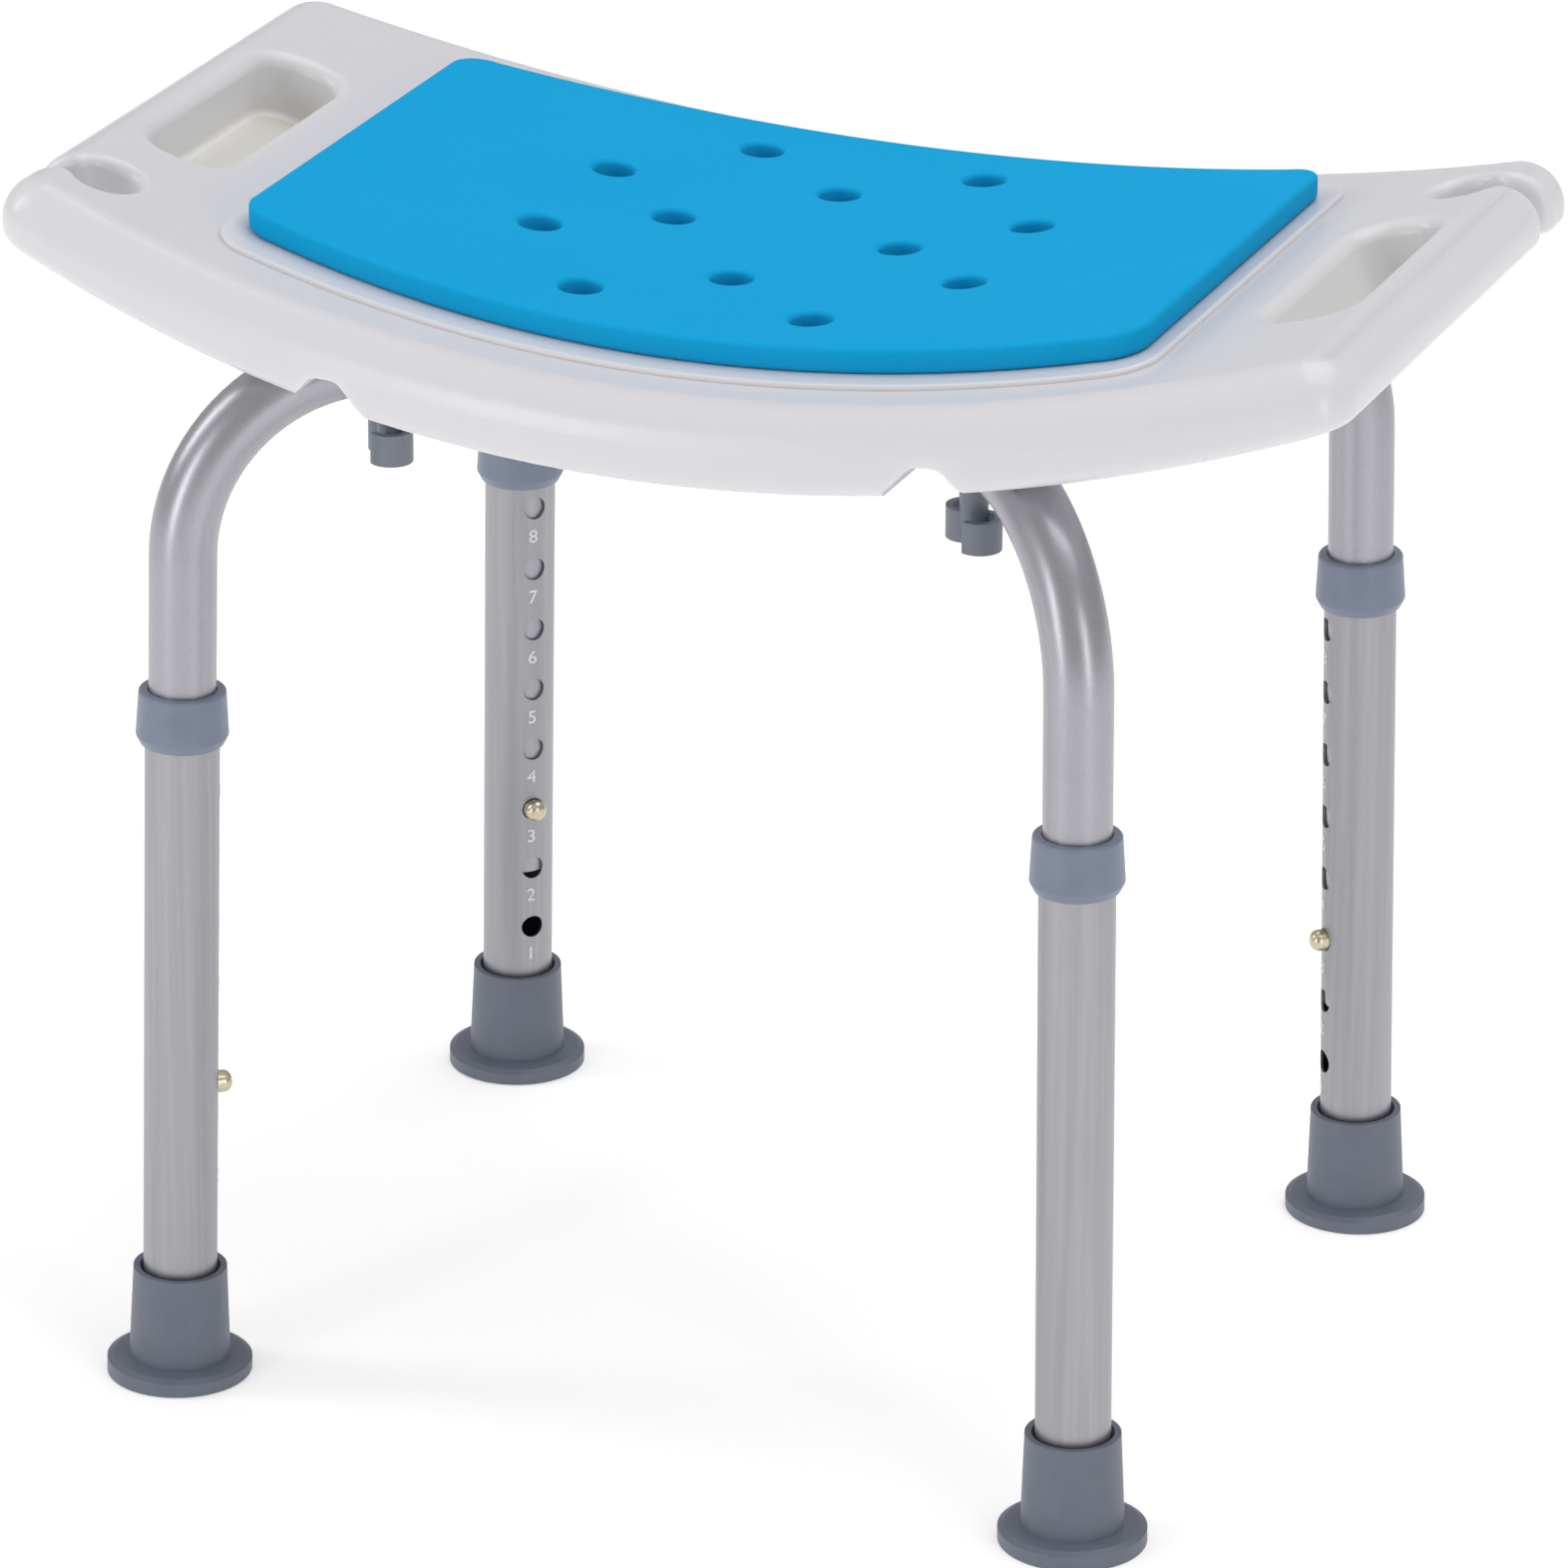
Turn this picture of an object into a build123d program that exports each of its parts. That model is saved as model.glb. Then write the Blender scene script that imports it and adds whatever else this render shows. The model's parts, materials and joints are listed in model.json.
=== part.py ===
from build123d import *
import os
from math import asin, cos, radians, sin, sqrt, tan

# Shower stool: a saddle-shaped blow-moulded seat with a foam pad, on four bent tube legs whose
# lower tubes telescope in steps and are held by spring buttons.
# Millimetres. Origin on the floor under the seat's centre, +X along the seat, +Y to the back, +Z up.

# ---- seat ----
SEAT_LENGTH = 505.5
SEAT_MID_DEPTH = 308.5
SEAT_END_DEPTH = 248.0
SEAT_CORNER_RADIUS = 17.0
SEAT_TOP_HEIGHT = 400.3  # lowest point of the top surface
SADDLE_RADIUS = 790.0  # top surface, curved up towards both ends
UNDER_HEIGHT = 370.6  # lowest point of the underside
UNDER_RADIUS = 733.0  # the underside curves more, so the seat thins towards its ends
RIM_TOP_RADIUS = 15.0
RIM_BOTTOM_RADIUS = 5.0
SKIN = 3.2  # blow-moulded wall
RIM_INSET = 11.0  # how far the hollow stays inside the outline
SADDLE_CENTRE = SEAT_TOP_HEIGHT + SADDLE_RADIUS
UNDER_CENTRE = UNDER_HEIGHT + UNDER_RADIUS
SEAT_THICKNESS = SEAT_TOP_HEIGHT - UNDER_HEIGHT

# ---- raised ledge that carries the pad ----
LEDGE_LENGTH = 352.0
LEDGE_MID_DEPTH = 250.0
LEDGE_END_DEPTH = 215.0
LEDGE_CORNER_RADIUS = 18.0
LEDGE_HEIGHT = 2.0
LEDGE_EDGE_RADIUS = 1.2

# ---- foam pad ----
PAD_LENGTH = 338.0
PAD_MID_DEPTH = 228.0
PAD_END_DEPTH = 191.0
PAD_CORNER_RADIUS = 14.0
PAD_EDGE_RADIUS = 1.6
PAD_THICKNESS = 9.6
PAD_HOLE_DIAMETER = 15.0
DRAIN_HOLE_DIAMETER = 8.0
DRAIN_COLUMN_DIAMETER = 14.0
HOLE_COLUMN_X = (43.5, 81.0)
HOLE_ROW_Y = (33.0, 50.0, 82.5)

# ---- handle pockets, one in each end ----
POCKET_X = 214.0
POCKET_Y = 4.0
POCKET_LENGTH = 112.0
POCKET_WIDTH = 34.0
POCKET_DEPTH = 23.0
POCKET_CORNER_RADIUS = 14.0
POCKET_DRAFT = 7.0
POCKET_RIM_RADIUS = 5.5
FLOOR_RADIUS = 3.0

# ---- hose slots, cut into opposite corners ----
SLOT_X = 224.0
SLOT_Y = 90.5
SLOT_RADIUS = 11.5
SLOT_EDGE_RADIUS = 4.0
MOUTH_WIDTH = 10.0
THROAT_RADIUS = 6.0
MOUTH_LENGTH = 60.0
MOUTH_ANGLE = 8.0  # the mouth runs outwards and towards the long side

# ---- notches in the lower rim, next to the knobs ----
NOTCH_X = 112.0
NOTCH_TOP_HEIGHT = 390.0
NOTCH_TOP_WIDTH = 10.0
NOTCH_SHOULDER_HEIGHT = 379.0
NOTCH_WIDTH = 31.0
NOTCH_ROUNDING = 6.0
NOTCH_REACH = 55.0  # inwards from the middle of the long side

# ---- legs ----
FOOT_SPACING_X = 348.2
FOOT_SPACING_Y = 301.5
ARM_ANGLE = 40.4  # arms run diagonally, measured from +X
LEAN = 1.32  # legs spread outwards towards the floor
UPPER_DIAMETER = 24.2
UPPER_WALL = 1.2
LOWER_DIAMETER = 26.8
LOWER_WALL = 1.0
BEND_RADIUS = 66.5
ARM_HEIGHT = 381.0
ARM_REACH = 158.0
UPPER_TUBE_END = 85.0  # along the leg, from the floor
LOWER_TUBE_START = 6.5
LOWER_TUBE_END = 262.0

# ---- height adjustment ----
FIRST_HOLE = 62.0
HOLE_PITCH = 25.0
HOLE_COUNT = 8
HOLE_DIAMETER = 8.8
BUTTON_IN_HOLE = 3
BUTTON_DIAMETER = 8.2
BUTTON_PROUD = 5.4
FLANGE_OFFSET = 7.6  # from the leg's axis
FLANGE_THICKNESS = 1.0
CLIP_WIDTH = 8.6
CLIP_THICKNESS = 0.8
CLIP_LENGTH = 44.0
CLIP_TAIL = 6.0
CLIP_GAP = 0.45

# ---- collar ----
COLLAR_BOTTOM = 245.5
COLLAR_HEIGHT = 20.0
COLLAR_RADIUS = 16.6
COLLAR_TOP_RADIUS = 15.6
COLLAR_BEVEL = 1.6
COLLAR_ROUNDING = 1.2
RUNNING_GAP = 0.3
FIT_GAP = 0.05

# ---- rubber boot ----
BOOT_FLANGE_RADIUS = 26.4
BOOT_FLANGE_HEIGHT = 6.0
BOOT_CONE_RADIUS = 18.4
BOOT_LIP_RADIUS = 17.0
BOOT_HEIGHT = 41.0
BOOT_BEAD = 1.2
BELOW_FLOOR = 3.0  # cut away level afterwards, because the leg leans

# ---- arm fixing: wing knob and threaded insert ----
BOLT_REACH = 83.5  # from the foot, along the arm
STUD_DIAMETER = 6.0
STUD_HOLE_DIAMETER = 7.0
INSERT_DIAMETER = 9.0
INSERT_LENGTH = 11.0
INSERT_BOSS_DIAMETER = 18.0
INSERT_BORE = 6.6
HUB_TOP_DIAMETER = 11.0
HUB_BOTTOM_DIAMETER = 9.4
HUB_BOTTOM = 351.0
STUD_BOTTOM = 353.0
STUD_CHAMFER = 0.8
KNOB_BOTTOM = 345.5
WING_HEIGHT = 11.5
WING_WALL = 2.6
WING_LOOP_RADIUS = 6.6
WING_SWEEP = 250.0
KNOB_TURNS = {"fl": 26.0, "bl": 75.0, "fr": 39.0, "br": 10.0}  # as tightened by hand

CHANNEL_GAP = 0.4
CHANNEL_BOTTOM = 345.0
TALL = 4 * SEAT_THICKNESS  # enough for any cut right through the seat
VENT_DIAMETER = 6.0
VENT_POINTS = ((0, 0), (205, 75), (-205, -75))

CORNERS = {"fl": (-1, -1), "bl": (-1, 1), "fr": (1, -1), "br": (1, 1)}


# ---------------------------------------------------------------- frames
def inward(corner):
    """Horizontal direction of a corner's arm, pointing to the seat's centre."""
    side_x, side_y = CORNERS[corner]
    return Vector(-side_x * cos(radians(ARM_ANGLE)), -side_y * sin(radians(ARM_ANGLE)), 0)


def foot_point(corner):
    """Where the leg's axis meets the floor."""
    side_x, side_y = CORNERS[corner]
    return Vector(side_x * FOOT_SPACING_X / 2, side_y * FOOT_SPACING_Y / 2, 0)


def leg_axis(corner):
    """Upward direction of a leg, which leans inwards."""
    return inward(corner) * sin(radians(LEAN)) + Vector(0, 0, cos(radians(LEAN)))


def leg_plane(corner, distance=0.0):
    """Plane square to a leg at a distance along it, with x towards the seat's centre."""
    axis = leg_axis(corner)
    x_dir = inward(corner) * cos(radians(LEAN)) - Vector(0, 0, sin(radians(LEAN)))
    return Plane(origin=foot_point(corner) + axis * distance, x_dir=x_dir, z_dir=axis)


def leg_section(corner):
    """Upright plane through a leg and its arm: x inwards along the arm, y upwards."""
    along = inward(corner)
    return Plane(origin=foot_point(corner), x_dir=along, z_dir=along.cross(Vector(0, 0, 1)))


def revolve_plane(corner):
    """Plane through a leg's own axis: x square to the leg, y up along the leg."""
    base = leg_plane(corner)
    return Plane(origin=base.origin, x_dir=base.x_dir, z_dir=base.x_dir.cross(base.z_dir))


def bolt_point(corner, height):
    """Point on a corner's bolt axis."""
    point = foot_point(corner) + inward(corner) * BOLT_REACH
    return Vector(point.X, point.Y, height)


def top_height(x, raised=0.0):
    """Height of the saddle above a distance from the middle."""
    return SADDLE_CENTRE - sqrt((SADDLE_RADIUS - raised) ** 2 - x**2)


def end_plane(x, y):
    """Plane touching the top surface at a point of the left end, with x pointing outwards."""
    slope = asin(x / SADDLE_RADIUS)
    normal = Vector(sin(slope), 0, cos(slope))
    outwards = Vector(-cos(slope), 0, sin(slope))
    return Plane(origin=(-x, y, top_height(x)), x_dir=outwards, z_dir=normal)


# ---------------------------------------------------------------- seat
def bowed_plan(length, mid_depth, end_depth, corner_radius):
    """Plan shape with straight ends and two long sides that bow outwards."""
    half = length / 2
    with BuildSketch() as plan:
        with BuildLine():
            ThreePointArc((-half, end_depth / 2), (0, mid_depth / 2), (half, end_depth / 2))
            Line((half, end_depth / 2), (half, -end_depth / 2))
            ThreePointArc((half, -end_depth / 2), (0, -mid_depth / 2), (-half, -end_depth / 2))
            Line((-half, -end_depth / 2), (-half, end_depth / 2))
        make_face()
        fillet(plan.vertices(), corner_radius)
    return plan.sketch


def saddle_slab(plan, upper_radius, lower_radius, lower_centre=SADDLE_CENTRE):
    """The part of an upright prism that lies between two arcs curved about lines along Y."""
    with BuildPart() as slab:
        with BuildSketch(Plane.XY.offset(SEAT_TOP_HEIGHT - 2 * SEAT_THICKNESS)):
            add(plan)
        extrude(amount=5 * SEAT_THICKNESS)
        with BuildSketch(Plane.XZ):
            with Locations((0, lower_centre)):
                Circle(lower_radius)
            with Locations((0, SADDLE_CENTRE)):
                Circle(upper_radius, mode=Mode.SUBTRACT)
        extrude(amount=SEAT_MID_DEPTH, both=True, mode=Mode.INTERSECT)
    return slab.part


def broad_faces(part):
    """The lower and the upper of the two largest faces."""
    return part.faces().sort_by(SortBy.AREA)[-2:].sort_by(Axis.Z)


def hole_points():
    """Plan positions of the twelve drain holes."""
    near_x, far_x = HOLE_COLUMN_X
    low_y, mid_y, high_y = HOLE_ROW_Y
    points = [(0, mid_y), (0, -mid_y), (near_x, 0), (-near_x, 0)]
    for side_x in (-1, 1):
        for side_y in (-1, 1):
            points.append((side_x * near_x, side_y * high_y))
            points.append((side_x * far_x, side_y * low_y))
    return points


def pocket_tool(grow=0.0):
    """Drafted handle pocket of the left end."""
    rim = end_plane(POCKET_X, POCKET_Y)
    width = POCKET_WIDTH + 2 * grow
    length = POCKET_LENGTH + 2 * grow
    corner_radius = POCKET_CORNER_RADIUS + grow
    with BuildPart() as pocket:
        with BuildSketch(rim.offset(SKIN)):
            RectangleRounded(width, length, corner_radius)
        extrude(amount=-(POCKET_DEPTH + SKIN + grow), taper=POCKET_DRAFT)
        floor_edges = pocket.faces().sort_by(Axis.Z)[0].edges()
        fillet(floor_edges, FLOOR_RADIUS)
    return pocket.part


def slot_tool(grow=0.0):
    """Keyhole of the left end: a round opening with a narrow mouth to the outside."""
    with BuildPart() as slot:
        with BuildSketch(Plane.XY.offset(CHANNEL_BOTTOM)) as keyhole:
            with Locations((-SLOT_X, -SLOT_Y)):
                Circle(SLOT_RADIUS + grow)
            with Locations(Location((-SLOT_X, -SLOT_Y, 0), (0, 0, 180 + MOUTH_ANGLE))):
                Rectangle(MOUTH_LENGTH, MOUTH_WIDTH + 2 * grow, align=(Align.MIN, Align.CENTER))
            throat = keyhole.vertices().sort_by(Axis.X)[2:4]
            fillet(throat, THROAT_RADIUS + grow)
        extrude(amount=TALL)
    return slot.part


def notch_tool(side_x, side_y, grow=0.0):
    """Bell-shaped tunnel from the long side's wall to the arm's channel."""
    origin = (side_x * NOTCH_X, side_y * SEAT_MID_DEPTH / 2, 0)
    wall = Plane(origin=origin, x_dir=(side_y, 0, 0), z_dir=(0, -side_y, 0))
    half = NOTCH_WIDTH / 2
    half_top = NOTCH_TOP_WIDTH / 2
    with BuildPart() as notch:
        with BuildSketch(wall) as bell:
            with BuildLine():
                Polyline(
                    (-half, CHANNEL_BOTTOM),
                    (-half, NOTCH_SHOULDER_HEIGHT),
                    (-half_top, NOTCH_TOP_HEIGHT),
                    (half_top, NOTCH_TOP_HEIGHT),
                    (half, NOTCH_SHOULDER_HEIGHT),
                    (half, CHANNEL_BOTTOM),
                    close=True,
                )
            make_face()
            fillet(bell.vertices().sort_by(Axis.Y)[2:], NOTCH_ROUNDING)
            if grow:
                offset(amount=grow)
        extrude(amount=NOTCH_REACH + grow)
    return notch.part


def channel_tool(corner, grow=0.0):
    """Groove that takes the arm; its roof follows the bend of the tube."""
    gap = CHANNEL_GAP + grow
    section = leg_section(corner)
    reach = ARM_REACH + gap
    roof = ARM_HEIGHT + UPPER_DIAMETER / 2 + gap
    bend_start, bend_middle, bend_end = bend_points(UPPER_DIAMETER / 2 + gap)
    with BuildPart() as channel:
        with BuildSketch(section):
            with BuildLine():
                ThreePointArc(bend_start, bend_middle, bend_end)
                Line(bend_end, (reach, roof))
                Line((reach, roof), (reach, CHANNEL_BOTTOM))
                Line((reach, CHANNEL_BOTTOM), (bend_start[0], CHANNEL_BOTTOM))
                Line((bend_start[0], CHANNEL_BOTTOM), bend_start)
            make_face()
        extrude(amount=UPPER_DIAMETER / 2 + gap, both=True)
    return channel.part


def bend_points(outwards):
    """Three points of an arc round the tube's bend, in the leg's section plane."""
    corner_x = ARM_HEIGHT * tan(radians(LEAN))
    centre_x = corner_x + BEND_RADIUS * tan(radians(45 - LEAN / 2))
    centre_y = ARM_HEIGHT - BEND_RADIUS
    radius = BEND_RADIUS + outwards
    points = []
    for angle in (150, 120, 90):
        x = centre_x + radius * cos(radians(angle))
        y = centre_y + radius * sin(radians(angle))
        points.append((x, y))
    return points


def both_ends(tool):
    """A left-end cutter and its copy for the right end; the seat repeats after half a turn."""
    return [tool, tool.rotate(Axis.Z, 180)]


def underside_tools(grow=0.0):
    """Cutters for the arm channels and the notches."""
    tools = []
    for corner, (side_x, side_y) in CORNERS.items():
        tools.append(channel_tool(corner, grow))
        tools.append(notch_tool(side_x, side_y, grow))
    return tools


def seat_hollow():
    """Space inside the blown body, kept clear of every pocket, groove and boss."""
    plan = bowed_plan(
        SEAT_LENGTH - 2 * RIM_INSET,
        SEAT_MID_DEPTH - 2 * RIM_INSET,
        SEAT_END_DEPTH - 2 * RIM_INSET,
        SEAT_CORNER_RADIUS - RIM_INSET,
    )
    with BuildPart() as hollow:
        add(saddle_slab(plan, SADDLE_RADIUS + SKIN, UNDER_RADIUS - SKIN, UNDER_CENTRE))
        end_tools = both_ends(pocket_tool(SKIN)) + both_ends(slot_tool(SKIN))
        for tool in end_tools + underside_tools(SKIN):
            add(tool, mode=Mode.SUBTRACT)
        drain_columns = round_posts(hole_points(), CHANNEL_BOTTOM, DRAIN_COLUMN_DIAMETER, TALL)
        add(drain_columns, mode=Mode.SUBTRACT)
        insert_bosses = round_posts(bolt_points(), CHANNEL_BOTTOM, INSERT_BOSS_DIAMETER, TALL)
        add(insert_bosses, mode=Mode.SUBTRACT)
    return hollow.part


def touches_top(edge):
    """Whether an edge lies in the saddle-shaped top surface."""
    middle = edge.position_at(0.5)
    distance = sqrt(middle.X**2 + (SADDLE_CENTRE - middle.Z) ** 2)
    return abs(distance - SADDLE_RADIUS) < 0.05


def bounds_slot(edge):
    """Whether an edge runs round a hose slot, rather than down its wall."""
    box = edge.bounding_box()
    upright = box.size.X < 0.5 and box.size.Y < 0.5 and box.size.Z > 5
    on_end_face = abs(edge.center().X) > SEAT_LENGTH / 2 - 1
    return on_end_face or not upright


def make_ledge():
    """Raised field under the pad, sunk a little into the top skin."""
    plan = bowed_plan(LEDGE_LENGTH, LEDGE_MID_DEPTH, LEDGE_END_DEPTH, LEDGE_CORNER_RADIUS)
    with BuildPart() as ledge:
        add(saddle_slab(plan, SADDLE_RADIUS - LEDGE_HEIGHT, SADDLE_RADIUS + SKIN / 2))
        fillet(broad_faces(ledge.part)[1].edges(), LEDGE_EDGE_RADIUS)
    return ledge.part


def round_posts(points, bottom, diameter, height):
    """Upright cylinders that all stand at one height."""
    with BuildPart() as posts:
        with BuildSketch(Plane.XY.offset(bottom)):
            with Locations(points):
                Circle(diameter / 2)
        extrude(amount=height)
    return posts.part


def make_seat_shell():
    """Blow-moulded seat."""
    plan = bowed_plan(SEAT_LENGTH, SEAT_MID_DEPTH, SEAT_END_DEPTH, SEAT_CORNER_RADIUS)
    slab = saddle_slab(plan, SADDLE_RADIUS, UNDER_RADIUS, UNDER_CENTRE)
    ledge = make_ledge()
    hollow = seat_hollow()
    insert_bottom = ARM_HEIGHT + UPPER_DIAMETER / 2 + CHANNEL_GAP
    vent_height = SEAT_TOP_HEIGHT - SEAT_THICKNESS / 2 - CHANNEL_BOTTOM
    with BuildPart() as seat:
        add(slab)
        fillet(broad_faces(seat.part)[1].edges(), RIM_TOP_RADIUS)
        fillet(broad_faces(seat.part)[0].edges(), RIM_BOTTOM_RADIUS)

        for tool in both_ends(pocket_tool()):
            add(tool, mode=Mode.SUBTRACT)
            fillet(seat.edges(Select.NEW).filter_by(touches_top), POCKET_RIM_RADIUS)
        for tool in both_ends(slot_tool()):
            add(tool, mode=Mode.SUBTRACT)
            fillet(seat.edges(Select.NEW).filter_by(bounds_slot), SLOT_EDGE_RADIUS)
        for tool in underside_tools():
            add(tool, mode=Mode.SUBTRACT)

        add(ledge)
        add(hollow, mode=Mode.SUBTRACT)
        drain_holes = round_posts(hole_points(), CHANNEL_BOTTOM, DRAIN_HOLE_DIAMETER, TALL)
        add(drain_holes, mode=Mode.SUBTRACT)
        vents = round_posts(VENT_POINTS, CHANNEL_BOTTOM, VENT_DIAMETER, vent_height)
        add(vents, mode=Mode.SUBTRACT)
        inserts = round_posts(bolt_points(), insert_bottom - 1, INSERT_DIAMETER, INSERT_LENGTH + 1)
        add(inserts, mode=Mode.SUBTRACT)
    return seat.part


def make_foam_pad():
    """Soft pad, curved like the seat, with twelve drain holes."""
    plan = bowed_plan(PAD_LENGTH, PAD_MID_DEPTH, PAD_END_DEPTH, PAD_CORNER_RADIUS)
    lower_radius = SADDLE_RADIUS - LEDGE_HEIGHT
    with BuildPart() as pad:
        add(saddle_slab(plan, lower_radius - PAD_THICKNESS, lower_radius))
        fillet(broad_faces(pad.part)[1].edges(), PAD_EDGE_RADIUS)
        pad_holes = round_posts(hole_points(), CHANNEL_BOTTOM, PAD_HOLE_DIAMETER, TALL)
        add(pad_holes, mode=Mode.SUBTRACT)
    return pad.part


# ---------------------------------------------------------------- legs
def leg_path():
    """Corners of an upper tube's centreline before its bend, in the leg's section plane."""
    lean = radians(LEAN)
    start = (UPPER_TUBE_END * sin(lean), UPPER_TUBE_END * cos(lean))
    corner = (ARM_HEIGHT * tan(lean), ARM_HEIGHT)
    return [start, corner, (ARM_REACH, ARM_HEIGHT)]


def side_plane(corner, distance):
    """Plane through a leg's axis, facing the seat's centre, at a distance along the leg."""
    base = leg_plane(corner, distance)
    return Plane(origin=base.origin, x_dir=base.y_dir, z_dir=base.x_dir)


def make_upper_leg(corner):
    """Bent tube: the upper part of a leg and its arm, in one piece."""
    button_distance = FIRST_HOLE + (BUTTON_IN_HOLE - 1) * HOLE_PITCH
    with BuildPart() as upper:
        with BuildLine(leg_section(corner)):
            FilletPolyline(*leg_path(), radius=BEND_RADIUS)
        with BuildSketch(leg_plane(corner, UPPER_TUBE_END)):
            Circle(UPPER_DIAMETER / 2)
            Circle(UPPER_DIAMETER / 2 - UPPER_WALL, mode=Mode.SUBTRACT)
        sweep()
        with BuildSketch(side_plane(corner, button_distance)):
            Circle(HOLE_DIAMETER / 2)
        extrude(amount=UPPER_DIAMETER, mode=Mode.SUBTRACT)
        with BuildSketch(Plane(bolt_point(corner, ARM_HEIGHT - UPPER_DIAMETER))):
            Circle(STUD_HOLE_DIAMETER / 2)
        extrude(amount=2 * UPPER_DIAMETER, mode=Mode.SUBTRACT)
    return upper.part


def make_lower_tube(corner):
    """Straight outer tube with its row of holes."""
    with BuildPart() as lower:
        with BuildSketch(leg_plane(corner, LOWER_TUBE_START)):
            Circle(LOWER_DIAMETER / 2)
            Circle(LOWER_DIAMETER / 2 - LOWER_WALL, mode=Mode.SUBTRACT)
        extrude(amount=LOWER_TUBE_END - LOWER_TUBE_START)
        for index in range(HOLE_COUNT):
            with BuildSketch(side_plane(corner, FIRST_HOLE + index * HOLE_PITCH)):
                Circle(HOLE_DIAMETER / 2)
            extrude(amount=LOWER_DIAMETER, mode=Mode.SUBTRACT)
    return lower.part


def is_collar_top_rim(edge):
    """Whether a circle is the outer rim at the collar's top."""
    return abs(edge.radius - COLLAR_TOP_RADIUS) < 0.01


def make_collar(corner):
    """Plastic guide ring on the lower tube's mouth."""
    bottom = COLLAR_BOTTOM
    top = COLLAR_BOTTOM + COLLAR_HEIGHT
    seat_radius = LOWER_DIAMETER / 2 + FIT_GAP
    bore = UPPER_DIAMETER / 2 + RUNNING_GAP
    with BuildPart() as collar:
        with BuildSketch(revolve_plane(corner)):
            with BuildLine():
                Polyline(
                    (seat_radius, bottom),
                    (COLLAR_RADIUS - COLLAR_BEVEL, bottom),
                    (COLLAR_RADIUS, bottom + 2 * COLLAR_BEVEL),
                    (COLLAR_TOP_RADIUS, top),
                    (bore, top),
                    (bore, LOWER_TUBE_END + FIT_GAP),
                    (seat_radius, LOWER_TUBE_END + FIT_GAP),
                    close=True,
                )
            make_face()
        revolve(axis=leg_line(corner))
        rims = collar.edges().group_by(SortBy.LENGTH)
        fillet(rims[-1], COLLAR_ROUNDING)
        upper_rim = collar.edges().filter_by(GeomType.CIRCLE).filter_by(is_collar_top_rim)
        fillet(upper_rim, COLLAR_ROUNDING)
    return collar.part


def make_boot(corner):
    """Rubber foot with a wide flange, cut level with the floor."""
    mouth = LOWER_DIAMETER / 2 + FIT_GAP
    flange_edge = BOOT_FLANGE_HEIGHT - BOOT_BEAD
    with BuildPart() as boot:
        with BuildSketch(revolve_plane(corner)):
            with BuildLine():
                Polyline(
                    (0, -BELOW_FLOOR),
                    (BOOT_FLANGE_RADIUS, -BELOW_FLOOR),
                    (BOOT_FLANGE_RADIUS, flange_edge),
                    (BOOT_FLANGE_RADIUS - 2 * BOOT_BEAD, BOOT_FLANGE_HEIGHT),
                    (BOOT_CONE_RADIUS, BOOT_FLANGE_HEIGHT + BOOT_BEAD / 2),
                    (BOOT_LIP_RADIUS, BOOT_HEIGHT),
                    (mouth + BOOT_BEAD, BOOT_HEIGHT),
                    (mouth, BOOT_HEIGHT - 3 * BOOT_BEAD),
                    (mouth, LOWER_TUBE_START),
                    (0, LOWER_TUBE_START),
                    close=True,
                )
            make_face()
        revolve(axis=leg_line(corner))
        split(bisect_by=Plane.XY, keep=Keep.TOP)
    return boot.part


def leg_line(corner):
    """Axis of a leg."""
    return Axis(foot_point(corner), leg_axis(corner))


def make_push_button(corner):
    """Domed brass button with a flange that stays inside the tube."""
    tip = LOWER_DIAMETER / 2 + BUTTON_PROUD
    radius = BUTTON_DIAMETER / 2
    button_distance = FIRST_HOLE + (BUTTON_IN_HOLE - 1) * HOLE_PITCH
    base = side_plane(corner, button_distance)
    with BuildPart() as button:
        with BuildSketch(base.offset(FLANGE_OFFSET)):
            Circle(radius + 0.9)
        extrude(amount=FLANGE_THICKNESS)
        with BuildSketch(base.offset(FLANGE_OFFSET)):
            Circle(radius)
        extrude(amount=tip - FLANGE_OFFSET)
        crown = button.edges().filter_by(GeomType.CIRCLE).sort_by(base_axis(base))[-1]
        fillet(crown, radius * 0.8)
    return button.part


def base_axis(plane):
    """Axis square to a plane through its origin."""
    return Axis(plane.origin, plane.z_dir)


def make_button_spring(corner):
    """Leaf spring bent like a hairpin inside the tube, open at the bottom."""
    front = FLANGE_OFFSET - CLIP_GAP
    back = -(UPPER_DIAMETER / 2 - UPPER_WALL - 1.3)
    middle = (front + back) / 2
    outer = (front - back) / 2
    bottom = FIRST_HOLE + (BUTTON_IN_HOLE - 1) * HOLE_PITCH - CLIP_TAIL
    top = bottom + CLIP_LENGTH
    plane = revolve_plane(corner)
    with BuildPart() as spring:
        with BuildSketch(plane):
            with Locations((middle, top)):
                Circle(outer)
                Circle(outer - CLIP_THICKNESS, mode=Mode.SUBTRACT)
                Rectangle(2 * outer + 1, outer + 1, align=(Align.CENTER, Align.MAX), mode=Mode.SUBTRACT)
            with Locations((front, bottom)):
                Rectangle(CLIP_THICKNESS, CLIP_LENGTH, align=(Align.MAX, Align.MIN))
            with Locations((back, bottom)):
                Rectangle(CLIP_THICKNESS, CLIP_LENGTH, align=(Align.MIN, Align.MIN))
        extrude(amount=CLIP_WIDTH / 2, both=True)
    return spring.part


# ---------------------------------------------------------------- arm fixing
def bolt_points():
    """Plan positions of the four bolts."""
    points = []
    for corner in CORNERS:
        point = bolt_point(corner, 0)
        points.append((point.X, point.Y))
    return points


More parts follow.
